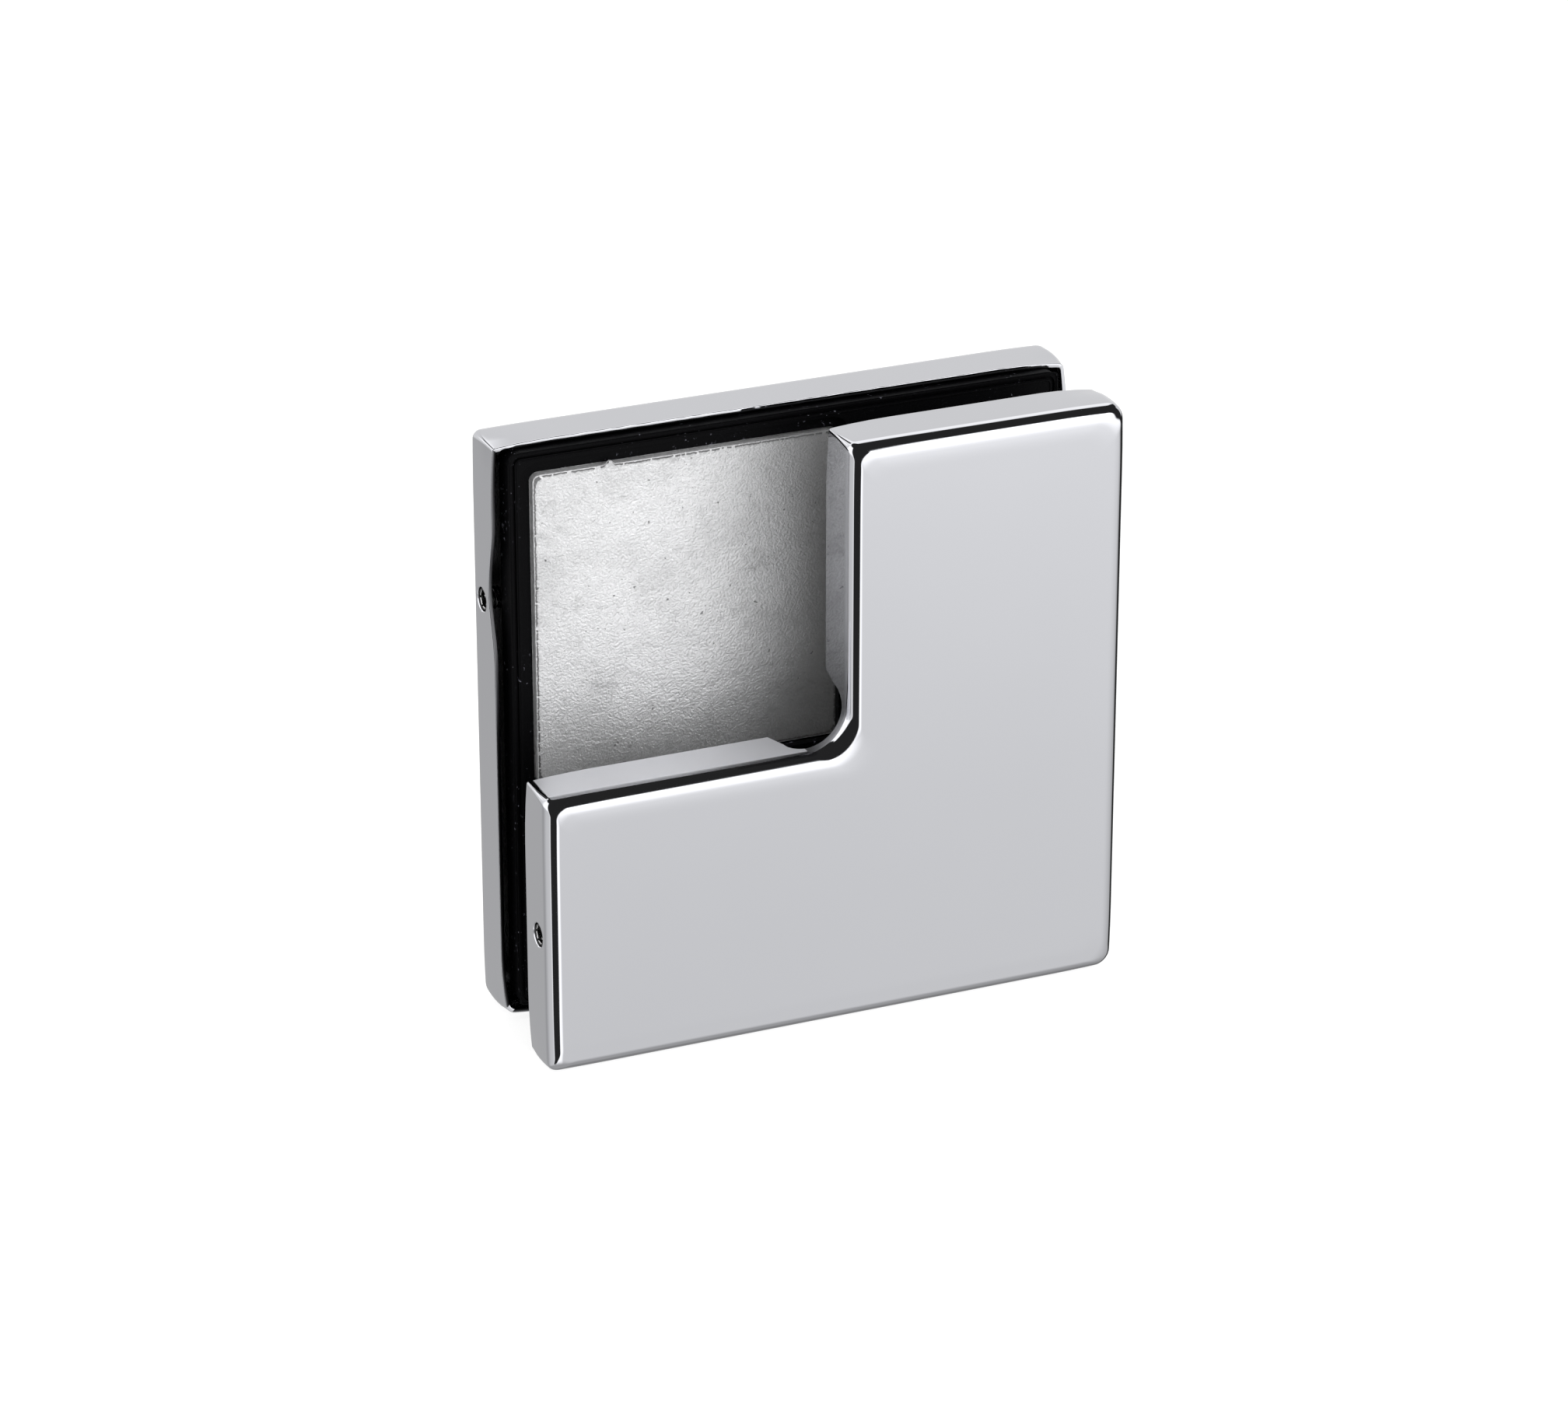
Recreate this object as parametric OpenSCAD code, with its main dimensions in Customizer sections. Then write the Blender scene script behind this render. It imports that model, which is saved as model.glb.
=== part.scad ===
// Patch connector for glass: a square rear half and an L-shaped front half clamp 10 mm panes between
// rubber gaskets. The notch of the L leaves room for the corner of a door leaf, which comes to rest on
// the bare land of the rear casting. Pressed covers hide both castings and their clamp bolts.
// X runs to the right, Y from the front cover to the rear cover, Z up. Lengths are in millimetres.

/* [Outline] */
// Width of the square outline
overall_w = 108; // [104:1:116]
// Height of the square outline
overall_h = 108; // [104:1:116]
// Width of both arms of the L-shaped front half
arm_w = 52; // [50:1:56]

/* [Glass slot] */
// Thickness of the panes that the slot takes
glass_t = 10; // [8:1:12]
// Thickness of each rubber gasket
gasket_t = 1.5; // [1.2:0.1:2]
// Distance of the gasket border from the outline
gasket_inset = 2.6; // [2.4:0.1:2.8]
// Distance of the upper border of the rear gasket from the outline
gasket_top = 1.2; // [1.2:0.1:2.6]

/* [Covers] */
// Depth of each cover from its face to its rim
cover_depth = 11; // [10:0.5:13]
// Thickness of the pressed sheet
cover_t = 0.8; // [0.7:0.05:1]
// Outside radius of the edge between face and walls
edge_r = 3; // [2.5:0.25:3.25]
// Outside radius of the upright corners between two walls
corner_r = 3.5; // [3.5:0.1:4.5]
// Radius of the fillet in the inner corner of the L
inner_r = 7; // [6:0.5:8]
// Distance by which the rims stay behind the casting faces
rim_setback = 0.2; // [0.1:0.05:0.4]

/* [Rim cut-outs] */
// Depth of the relief in the rim around the inner corner of the L
relief_depth = 7; // [5:0.5:7.5]
// Distance from the inner corner to the mouth of the relief
relief_mouth = 11; // [10.5:0.5:13]
// Distance from the inner corner to the upright part of the relief
relief_waist = 9.6; // [9:0.1:10]
// Radius at the floor of the relief
relief_r = 3; // [2:0.25:3.5]
// Length of the dip in the left rim of the rear cover
dip_length = 23; // [18:1:28]
// Depth of the dip in the left rim of the rear cover
dip_depth = 2.2; // [1.5:0.1:2.6]
// Height of the middle of the dip
dip_height = 81; // [78:1:84]

/* [Castings] */
// Distance of the castings from the outline
clamp_inset = 3; // [2.8:0.1:3.4]
// Radius of the outer edges of the castings
clamp_edge = 1.5; // [1:0.1:1.8]
// Radius of the upright corners of the castings
clamp_corner = 2.2; // [2:0.1:3]
// Thickness of the web behind the gasket
clamp_web = 4; // [3.5:0.25:5]
// Thickness of the ribs and side walls
clamp_wall = 3; // [2.5:0.25:3.5]
// Diameter of the bosses around the clamp bolts
boss_d = 19; // [18:0.5:21]
// Width of the side blocks that the cover screws enter
screw_block = 9; // [8:0.5:10]
// Radius of the recess in the front casting at the inner corner of the L
throat_r = 11; // [9:0.5:12]
// Distance of the door land from the left of the outline
land_inset = 7; // [6.6:0.1:8]
// Distance of the door land from the top of the outline
land_top = 5.8; // [5.6:0.1:8]
// Distance that the door land reaches behind the arms
land_reach = 7.2; // [6:0.2:8]
// Corner radius of the door land
land_corner = 1.2; // [0.8:0.1:2]

/* [Rubber borders] */
// Width of the thin lip of the rear gasket around the door land
lip_w = 2.1; // [1.8:0.1:2.4]
// Thickness of that lip
lip_t = 0.5; // [0.4:0.05:0.7]
// Width and depth of the groove along the gasket borders
groove_w = 0.5; // [0.4:0.05:0.6]
// Distance of the groove from the gasket border
groove_inset = 0.7; // [0.6:0.05:0.8]
// Corner radius of the gaskets
gasket_corner = 2.4; // [2.2:0.1:3]
// Height of the skirt that each gasket turns over the sides of its casting
skirt_h = 3; // [2:0.1:3.4]

/* [Clamp bolts] */
// Thread diameter of the clamp bolts
bolt_d = 6; // [5:0.5:6]
// Length of the bolts under the head
bolt_len = 25; // [23:0.5:26]
// Diameter of the low round heads
bolt_head_d = 10; // [9:0.5:11]
// Height of the heads
bolt_head_h = 4; // [3.5:0.25:4.25]
// Width across the flats of the hexagon socket
bolt_socket = 4; // [3:0.5:5]
// Depth of the hexagon socket
bolt_socket_depth = 2.2; // [1.5:0.1:2.5]
// Outside diameter of the washers
washer_d = 12; // [11.5:0.25:13]
// Thickness of the washers
washer_t = 1.6; // [1:0.1:1.6]
// Outside diameter of the bushes that keep the bolts off the glass
bush_d = 11; // [10:0.5:13]

/* [Cover screws] */
// Thread diameter of the set screws that hold the covers
screw_d = 4; // [3:0.5:4]
// Width across the flats of their hexagon sockets
screw_socket = 2.5; // [1.5:0.5:2.5]
// Depth of their hexagon sockets
screw_socket_depth = 2.2; // [1.5:0.1:2.5]
// Length of the set screws
screw_len = 8; // [7:0.5:10]
// Distance by which the set screws stay below the walls
screw_sink = 0.15; // [0.1:0.05:0.4]
// Distance of the cover screws from the rim
screw_depth = 5.5; // [5:0.25:6]
// Height of the screws at the left of the front cover and the right of the rear cover
screw_low = 25; // [22:1:28]
// Height of the screws at the right of the front cover and the left of the rear cover
screw_high = 78; // [74:1:82]

/* [Clearances] */
// Radial clearance of threads in their bores
thread_clear = 0.05; // [0.04:0.01:0.1]
// Radial clearance of bolts and heads in plain bores
bore_clear = 0.3; // [0.2:0.05:0.5]
// Radial clearance of the set screws in the walls of the covers
wall_clear = 0.18; // [0.15:0.01:0.3]
// Clearance of the bushes and the door land in the gaskets
rubber_clear = 0.3; // [0.2:0.05:0.4]

/* [Hidden] */
$fn = 96;
over = 1;
half_w = overall_w / 2;
notch_x = half_w - arm_w;
gasket_y = glass_t / 2;
clamp_y = gasket_y + gasket_t;
rim_y = clamp_y + rim_setback;
face_y = rim_y + cover_depth;
seat_y = face_y - cover_t;
pocket_y = clamp_y + clamp_web;
head_y = seat_y - bore_clear - bolt_head_h;
washer_y = head_y - washer_t;
screw_y = rim_y + screw_depth;
arm_mid = arm_w / 2;
bolt_places = [[-half_w + arm_mid, arm_mid], [half_w - arm_mid, arm_mid], [half_w - arm_mid, overall_h - arm_mid]];
front_screws = [[-1, screw_low], [1, screw_high]];
rear_screws = [[-1, screw_high], [1, screw_low]];
land_x0 = -half_w + land_inset;
land_x1 = notch_x + land_reach;
land_z0 = arm_w - land_reach;
land_z1 = overall_h - land_top;
dip_r = (pow(dip_length / 2, 2) + pow(dip_depth, 2)) / (2 * dip_depth);
relief_under = 2.5 * cover_t;
BUSH_NAMES = ["glass_bush_left", "glass_bush_corner", "glass_bush_top"];

// Both halves are drawn flat, with x across, y up and z out from the middle of the glass.
module front_half() {
    rotate([90, 0, 0]) children();
}

module rear_half() {
    mirror([0, 1, 0]) rotate([90, 0, 0]) children();
}

// Rectangle with round corners.
module round_rect(x0, x1, y0, y1, r) {
    translate([x0 + r, y0]) square([x1 - x0 - 2 * r, y1 - y0]);
    translate([x0, y0 + r]) square([x1 - x0, y1 - y0 - 2 * r]);
    for (x = [x0 + r, x1 - r], y = [y0 + r, y1 - r])
        translate([x, y]) circle(r);
}

// Section of a pan: a rectangle whose two top corners are round.
module pan_section(x0, x1, z0, z1, r) {
    translate([x0, z0]) square([x1 - x0, z1 - z0 - r]);
    translate([x0 + r, z0]) square([x1 - x0 - 2 * r, z1 - z0]);
    for (x = [x0 + r, x1 - r])
        translate([x, z1 - r]) circle(r);
}

// Half section of a corner post: its outer top edge is round.
module post_section(r, z0, z1, edge) {
    translate([0, z0]) square([r, z1 - z0 - edge]);
    translate([0, z0]) square([r - edge, z1 - z0]);
    intersection() {
        translate([r - edge, z1 - edge]) circle(edge);
        translate([0, z0]) square([r, z1 - z0]);
    }
}

// Box whose round top edges run on around its round upright corners.
module soft_box(x0, x1, y0, y1, z0, z1, edge, corner) {
    translate([0, y1 - corner, 0]) rotate([90, 0, 0])
        linear_extrude(y1 - y0 - 2 * corner) pan_section(x0, x1, z0, z1, edge);
    translate([x0 + corner, 0, 0]) rotate([90, 0, 90])
        linear_extrude(x1 - x0 - 2 * corner) pan_section(y0, y1, z0, z1, edge);
    for (x = [x0 + corner, x1 - corner], y = [y0 + corner, y1 - corner])
        translate([x, y, 0]) rotate_extrude() post_section(corner, z0, z1, edge);
}

// Inner corner of the L: a fillet whose top edge flares out with the same round as the straight edges.
module inner_corner(x, y, z0, z1, edge, fillet) {
    difference() {
        translate([x - fillet, y - edge, z0]) cube([fillet + edge, fillet + edge, z1 - z0]);
        translate([x - fillet, y + fillet, 0]) rotate_extrude() {
            translate([0, z0 - over]) square([fillet, z1 - z0 + 2 * over]);
            difference() {
                translate([0, z1 - edge]) square([fillet + edge, edge + over]);
                translate([fillet + edge, z1 - edge]) circle(edge);
            }
        }
    }
}

// Solid square and solid L, set in from the outline by the same distance all round.
module soft_square(inset, z0, z1, edge, corner) {
    soft_box(-half_w + inset, half_w - inset, inset, overall_h - inset, z0, z1, edge, corner);
}

module soft_l(inset, z0, z1, edge, corner, fillet) {
    soft_box(-half_w + inset, half_w - inset, inset, arm_w - inset, z0, z1, edge, corner);
    soft_box(notch_x + inset, half_w - inset, inset, overall_h - inset, z0, z1, edge, corner);
    inner_corner(notch_x + inset, arm_w - inset, z0, z1, edge, fillet);
}

module square_outline(inset, r) {
    round_rect(-half_w + inset, half_w - inset, inset, overall_h - inset, r);
}

module l_outline(inset, r) {
    round_rect(-half_w + inset, half_w - inset, inset, arm_w - inset, r);
    round_rect(notch_x + inset, half_w - inset, inset, overall_h - inset, r);
}

// Places something drawn along z at a side wall, pointing inwards; side is -1 at the left, 1 at the right.
module at_side(side, height) {
    translate([side * half_w, height, screw_y]) rotate([0, -90 * side, 0]) children();
}

module at_bolts() {
    for (place = bolt_places)
        translate([place[0], place[1], 0]) children();
}

// Holes in the walls of a cover that the set screws stand in.
module screw_holes(places) {
    for (place = places)
        at_side(place[0], place[1])
            translate([0, 0, -over]) cylinder(h = cover_t + 2 * over, r = screw_d / 2 + wall_clear);
}

// Profile of the relief: distance from the inner corner along the wall, and depth from the rim.
module relief_profile() {
    slope = (relief_mouth - relief_waist) / (relief_depth - relief_r);
    polygon([[-relief_under, -over], [relief_mouth + slope * over, -over],
             [relief_waist, relief_depth - relief_r], [-relief_under, relief_depth - relief_r]]);
    translate([-relief_under, -over])
        square([relief_under + relief_waist - relief_r, over + relief_depth]);
    translate([relief_waist - relief_r, relief_depth - relief_r]) circle(relief_r);
}

// Relief in the rim around the inner corner of the L, cut along both of its walls.
module corner_relief() {
    span = relief_under + inner_r + over;
    translate([notch_x, arm_w + inner_r + over, rim_y]) mirror([1, 0, 0]) rotate([90, 0, 0])
        linear_extrude(span) relief_profile();
    translate([notch_x - inner_r - over, arm_w, rim_y]) rotate([90, 0, 90])
        linear_extrude(span) relief_profile();
}

module front_cover() {
    color("silver") front_half() difference() {
        soft_l(0, rim_y, face_y, edge_r, corner_r, inner_r);
        soft_l(cover_t, rim_y - over, seat_y, edge_r - cover_t, corner_r - cover_t, inner_r + cover_t);
        corner_relief();
        screw_holes(front_screws);
    }
}

// Shallow dip in the left rim, where the thread of a cover screw shows.
module rim_dip() {
    translate([-half_w - over, dip_height, rim_y + dip_depth - dip_r]) rotate([0, 90, 0])
        cylinder(h = cover_t + 2 * over, r = dip_r);
}

module rear_cover() {
    color("silver") rear_half() difference() {
        soft_square(0, rim_y, face_y, edge_r, corner_r);
        soft_square(cover_t, rim_y - over, seat_y, edge_r - cover_t, corner_r - cover_t);
        rim_dip();
        screw_holes(rear_screws);
    }
}

// Solid parts of a casting between its web and its cover: bosses, ribs through them and screw blocks.
module rib_plan(screws) {
    for (place = bolt_places) {
        translate(place) circle(d = boss_d);
        translate([-half_w, place[1] - clamp_wall / 2]) square([overall_w, clamp_wall]);
        translate([place[0] - clamp_wall / 2, 0]) square([clamp_wall, overall_h]);
    }
    for (place = screws) {
        inner_x = half_w - screw_len - clamp_wall;
        x0 = place[0] < 0 ? -half_w : inner_x;
        translate([x0, place[1] - screw_block / 2]) square([half_w - inner_x, screw_block]);
    }
}

module screw_bores(screws) {
    for (place = screws)
        at_side(place[0], place[1])
            translate([0, 0, cover_t]) cylinder(h = screw_len, r = screw_d / 2 + thread_clear);
}

// Hollow for the corner recess of the front casting, widened by a distance.
module throat_plan(extra) {
    translate([notch_x - relief_under, arm_w + relief_under]) circle(throat_r + extra);
}

module front_clamp() {
    color("gainsboro") front_half() difference() {
        soft_l(clamp_inset, clamp_y, seat_y, clamp_edge, clamp_corner, clamp_inset);
        translate([0, 0, pocket_y]) linear_extrude(cover_depth) difference() {
            l_outline(clamp_inset + clamp_wall, clamp_edge);
            rib_plan(front_screws);
            throat_plan(clamp_wall);
        }
        translate([0, 0, clamp_y - over]) linear_extrude(cover_depth + 2 * over) throat_plan(0);
        at_bolts() {
            translate([0, 0, clamp_y - over]) cylinder(h = cover_depth, d = bolt_d + 2 * bore_clear);
            translate([0, 0, washer_y]) cylinder(h = cover_depth, d = washer_d + 2 * bore_clear);
        }
        screw_bores(front_screws);
    }
}

module rear_clamp() {
    color("gainsboro") rear_half() difference() {
        union() {
            soft_square(clamp_inset, clamp_y, seat_y, clamp_edge, clamp_corner);
            translate([0, 0, gasket_y]) linear_extrude(gasket_t + clamp_web)
                round_rect(land_x0, land_x1, land_z0, land_z1, land_corner);
        }
        translate([0, 0, pocket_y]) linear_extrude(cover_depth) difference() {
            square_outline(clamp_inset + clamp_wall, clamp_edge);
            rib_plan(rear_screws);
        }
        at_bolts()
            translate([0, 0, clamp_y - over]) cylinder(h = cover_depth + over, r = bolt_d / 2 + thread_clear);
        screw_bores(rear_screws);
    }
}

// Rubber at the places of the bushes is cut away.
module bush_holes() {
    at_bolts()
        translate([0, 0, gasket_y - over]) cylinder(h = gasket_t + 2 * over, r = bush_d / 2 + rubber_clear);
}

module front_gasket() {
    color("dimgray") front_half() difference() {
        union() {
            translate([0, 0, gasket_y]) linear_extrude(gasket_t) l_outline(gasket_inset, gasket_corner);
            translate([0, 0, gasket_y]) linear_extrude(gasket_t + skirt_h) difference() {
                l_outline(gasket_inset, gasket_corner);
                l_outline(clamp_inset, clamp_corner);
                throat_plan(0);
            }
        }
        translate([0, 0, gasket_y - over]) linear_extrude(over + groove_w) difference() {
            l_outline(gasket_inset + groove_inset, gasket_corner - groove_inset);
            l_outline(gasket_inset + groove_inset + groove_w, gasket_corner - groove_inset - groove_w);
        }
        bush_holes();
    }
}

// Outline of the door land, widened by a distance.
module land_outline(extra) {
    round_rect(land_x0 - extra, land_x1 + extra, land_z0 - extra, land_z1 + extra, land_corner + extra);
}

// Outline of the rear gasket, set in by a distance; it reaches further up than the front one.
module rear_rubber(inset) {
    side = half_w - gasket_inset - inset;
    round_rect(-side, side, gasket_inset + inset, overall_h - gasket_top - inset, gasket_corner - inset);
}

module rear_gasket() {
    color("dimgray") rear_half() difference() {
        union() {
            translate([0, 0, gasket_y]) linear_extrude(gasket_t) rear_rubber(0);
            translate([0, 0, gasket_y]) linear_extrude(gasket_t + skirt_h) difference() {
                rear_rubber(0);
                square_outline(clamp_inset, clamp_corner);
            }
        }
        translate([0, 0, gasket_y - over]) linear_extrude(gasket_t + 2 * over) land_outline(rubber_clear);
        translate([0, 0, gasket_y - over]) linear_extrude(over + gasket_t - lip_t)
            land_outline(rubber_clear + lip_w);
        translate([0, 0, gasket_y - over]) linear_extrude(over + groove_w) difference() {
            rear_rubber(groove_inset);
            rear_rubber(groove_inset + groove_w);
        }
        bush_holes();
    }
}

module clamp_bolts() {
    color("slategray") front_half() at_bolts() difference() {
        union() {
            translate([0, 0, head_y]) cylinder(h = bolt_head_h, d = bolt_head_d);
            translate([0, 0, head_y - bolt_len]) cylinder(h = bolt_len + over, d = bolt_d);
        }
        translate([0, 0, head_y + bolt_head_h - bolt_socket_depth])
            cylinder(h = bolt_socket_depth + over, d = bolt_socket / cos(30), $fn = 6);
    }
}

module bolt_washers() {
    color("lightgray") front_half() at_bolts()
        translate([0, 0, washer_y]) difference() {
            cylinder(h = washer_t, d = washer_d);
            translate([0, 0, -over]) cylinder(h = washer_t + 2 * over, d = bolt_d + 2 * bore_clear);
        }
}

// A bush stands on the rear casting and ends a little short of the front one.
module glass_bush(place) {
    color("ivory") front_half() translate([place[0], place[1], -clamp_y]) difference() {
        cylinder(h = 2 * clamp_y - rubber_clear, d = bush_d);
        translate([0, 0, -over]) cylinder(h = 2 * clamp_y + 2 * over, d = bolt_d + 2 * bore_clear);
    }
}

// Set screw along z with a hexagon socket, a little below the wall, and a pointed end.
module cover_screw() {
    point = screw_d / 4;
    translate([0, 0, screw_sink]) difference() {
        union() {
            cylinder(h = screw_len - point, d = screw_d);
            translate([0, 0, screw_len - point])
                cylinder(h = point, r1 = screw_d / 2, r2 = screw_d / 2 - point);
        }
        translate([0, 0, -over])
            cylinder(h = screw_socket_depth + over, d = screw_socket / cos(30), $fn = 6);
    }
}

module cover_screws() {
    color("lightgray") {
        front_half() for (place = front_screws)
            at_side(place[0], place[1]) cover_screw();
        rear_half() for (place = rear_screws)
            at_side(place[0], place[1]) cover_screw();
    }
}

front_cover();
rear_cover();
front_clamp();
rear_clamp();
front_gasket();
rear_gasket();
clamp_bolts();
bolt_washers();
for (i = [0:len(BUSH_NAMES) - 1])
    glass_bush(bolt_places[i]);
cover_screws();
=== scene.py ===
"""Patch connector for glass panes: its finishes and set screws, with a studio and a camera."""
from math import asin, atan2, cos, degrees, radians, sin, sqrt, tau

import bmesh
import bpy
from bpy.props import FloatProperty, FloatVectorProperty, PointerProperty
from mathutils import Matrix, Vector, noise


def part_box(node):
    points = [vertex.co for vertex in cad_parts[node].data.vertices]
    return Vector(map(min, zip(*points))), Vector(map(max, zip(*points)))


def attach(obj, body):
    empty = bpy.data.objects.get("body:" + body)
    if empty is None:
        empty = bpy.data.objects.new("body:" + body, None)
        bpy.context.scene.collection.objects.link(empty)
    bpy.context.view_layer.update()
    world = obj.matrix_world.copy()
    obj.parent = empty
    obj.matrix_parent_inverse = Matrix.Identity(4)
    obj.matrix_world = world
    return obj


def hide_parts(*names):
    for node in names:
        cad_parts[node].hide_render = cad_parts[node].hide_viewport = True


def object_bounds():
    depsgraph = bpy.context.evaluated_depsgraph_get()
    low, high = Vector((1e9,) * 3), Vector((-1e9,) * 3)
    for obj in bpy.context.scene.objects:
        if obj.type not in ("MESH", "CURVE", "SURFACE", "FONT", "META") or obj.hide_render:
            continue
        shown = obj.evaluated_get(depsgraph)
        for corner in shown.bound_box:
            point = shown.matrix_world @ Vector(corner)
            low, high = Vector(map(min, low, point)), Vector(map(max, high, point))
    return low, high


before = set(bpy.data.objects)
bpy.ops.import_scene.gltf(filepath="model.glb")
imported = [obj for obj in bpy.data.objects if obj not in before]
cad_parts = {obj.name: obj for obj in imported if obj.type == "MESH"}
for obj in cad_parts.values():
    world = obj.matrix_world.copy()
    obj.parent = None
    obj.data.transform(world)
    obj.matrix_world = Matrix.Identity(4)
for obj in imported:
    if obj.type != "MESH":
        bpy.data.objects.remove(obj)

bl_info = {
    "name": "Patch Connector Finishes",
    "version": (1, 0, 0),
    "blender": (4, 5, 0),
    "location": "View3D > Sidebar > Connector",
    "description": "Finishes, set screws, studio and camera for a glass patch connector",
    "category": "Object",
}

CAD_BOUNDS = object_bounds()
BODY = "root"
NEAR = 0.0001  # places closer than this count as one


def finish_colour(name, description, default):
    """A colour that a user can change."""
    return FloatVectorProperty(
        name=name, description=description, subtype="COLOR", size=3, min=0, max=1, default=default)


class ConnectorColours(bpy.types.PropertyGroup):
    """Colours of the finishes."""
    steel: finish_colour("Polished steel", "Colour of the polished covers", (0.537, 0.541, 0.566))
    casting: finish_colour("Casting", "Colour of the bare aluminium castings", (0.805, 0.807, 0.817))
    rubber: finish_colour("Rubber", "Colour of the gaskets", (0.0025, 0.0025, 0.003))
    zinc: finish_colour("Zinc", "Colour of the plated bolts and washers", (0.55, 0.55, 0.56))
    screws: finish_colour("Screws", "Colour of the set screws", (0.8, 0.8, 0.805))
    nylon: finish_colour("Nylon", "Colour of the bushes", (0.78, 0.77, 0.72))


def length(name, description, default):
    """A length in metres that a user can change."""
    return FloatProperty(name=name, description=description, default=default, unit="LENGTH", precision=5)


class ConnectorSizes(bpy.types.PropertyGroup):
    """Sizes of the covers, set screws, sealing beads and land edge."""
    arm: length("Arm", "Width of both arms of the L-shaped front cover", 0.052)
    sheet: length("Sheet", "Thickness of the pressed covers", 0.0008)
    edge: length("Edge", "Radius between the face and the walls", 0.0028)
    crown: length("Crown", "Width over which the face falls towards its edges", 0.003)
    sag: length("Sag", "Fall of the face at its edges", 0.00006)
    rim_corner: length("Rim corner", "Corner radius of the covers at the rim", 0.0004)
    wall_corner: length("Wall corner", "Corner radius of the covers where the walls end", 0.0014)
    face_corner: length("Face corner", "Corner radius of the covers at the face", 0.0025)
    inner_corner: length("Inner corner", "Fillet in the inner corner of the L", 0.007)
    bow: length("Bow", "Distance by which the corners of the covers are drawn in at the rim", 0.0009)
    soft: length("Soft corner", "Added to the radius of the corners away from the notch", 0.0012)
    bow_span: length("Bow span", "Distance from a corner at which the drawing-in starts", 0.012)
    relief_depth: length("Relief depth", "Depth of the relief in the rim at the inner corner", 0.007)
    relief_mouth: length("Relief mouth", "Distance from the inner corner to the mouth of the relief", 0.011)
    relief_waist: length("Relief waist", "Distance from the inner corner to the steep flank", 0.0096)
    relief_round: length("Relief round", "Radius at the floor of the relief", 0.003)
    dip_length: length("Dip length", "Length of the dip in the left rim of the rear cover", 0.027)
    dip_depth: length("Dip depth", "Depth of that dip", 0.0022)
    dip_height: length("Dip height", "Height of the middle of the dip", 0.081)
    screw: length("Screw", "Thread diameter of the set screws", 0.004)
    pitch: length("Pitch", "Thread pitch of the set screws", 0.0007)
    socket: length("Socket", "Width across flats of their sockets", 0.003)
    screw_length: length("Screw length", "Length of the set screws", 0.008)
    screw_sink: length("Screw sink", "Distance of the set screws below the walls", 0.0002)
    screw_depth: length("Screw depth", "Distance of the set screws from the rim", 0.0055)
    screw_low: length("Lower screw", "Height of the lower set screws", 0.025)
    screw_high: length("Upper screw", "Height of the upper set screws", 0.078)
    hole_clear: length("Hole clearance", "Radial clearance of the set screws in the walls", 0.00018)
    hole_edge: length("Hole edge", "Bevel of the holes for the set screws", 0.00014)
    bead: length("Bead", "Half width of the sealing beads on the rear gasket", 0.00016)
    burr: length("Burr", "Height of the ragged edge of the door land", 0.00012)


class ConnectorStage(bpy.types.PropertyGroup):
    """Place of the camera, sizes of the floor and the tent, and level of the light."""
    azimuth: FloatProperty(
        name="Azimuth", description="Angle of the camera to the left of the front cover",
        subtype="ANGLE", default=radians(23.126))
    elevation: FloatProperty(
        name="Elevation", description="Angle at which the camera looks down",
        subtype="ANGLE", default=radians(24.071))
    distance: FloatProperty(
        name="Distance", description="Distance of the camera from the middle of the part",
        unit="LENGTH", default=1.0025)
    lens: FloatProperty(
        name="Lens", description="Focal length of the camera", subtype="DISTANCE_CAMERA", default=131.83)
    slide: FloatProperty(
        name="Slide", description="Sideways offset of the camera", unit="LENGTH", default=-0.002693)
    lift: FloatProperty(
        name="Lift", description="Upward offset of the camera", unit="LENGTH", default=-0.001383)
    floor: FloatProperty(
        name="Floor", description="Width of the floor", unit="LENGTH", default=7.0)
    tent: FloatProperty(
        name="Tent", description="Radius of the light tent", unit="LENGTH", default=5.0)
    light: FloatProperty(
        name="Light", description="Level of the plain light from all sides", default=1.0)


class Value:
    """A shader socket that takes part in Python arithmetic."""

    def __init__(self, shader, socket):
        self.shader = shader
        self.socket = socket

    def _math(self, operation, *operands):
        return self.shader.add("ShaderNodeMath", {"operation": operation}, dict(enumerate(operands)))

    def __add__(self, other):
        return self._math("ADD", self, other)

    def __radd__(self, other):
        return self._math("ADD", other, self)

    def __sub__(self, other):
        return self._math("SUBTRACT", self, other)

    def __rsub__(self, other):
        return self._math("SUBTRACT", other, self)

    def __mul__(self, other):
        return self._math("MULTIPLY", self, other)

    def __rmul__(self, other):
        return self._math("MULTIPLY", other, self)

    def __truediv__(self, other):
        return self._math("DIVIDE", self, other)

    def between(self, low, high):
        """Rises smoothly from 0 at low to 1 at high."""
        return self.shader.add(
            "ShaderNodeMapRange", {"interpolation_type": "SMOOTHSTEP"},
            {"Value": self, "From Min": low, "From Max": high})


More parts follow.
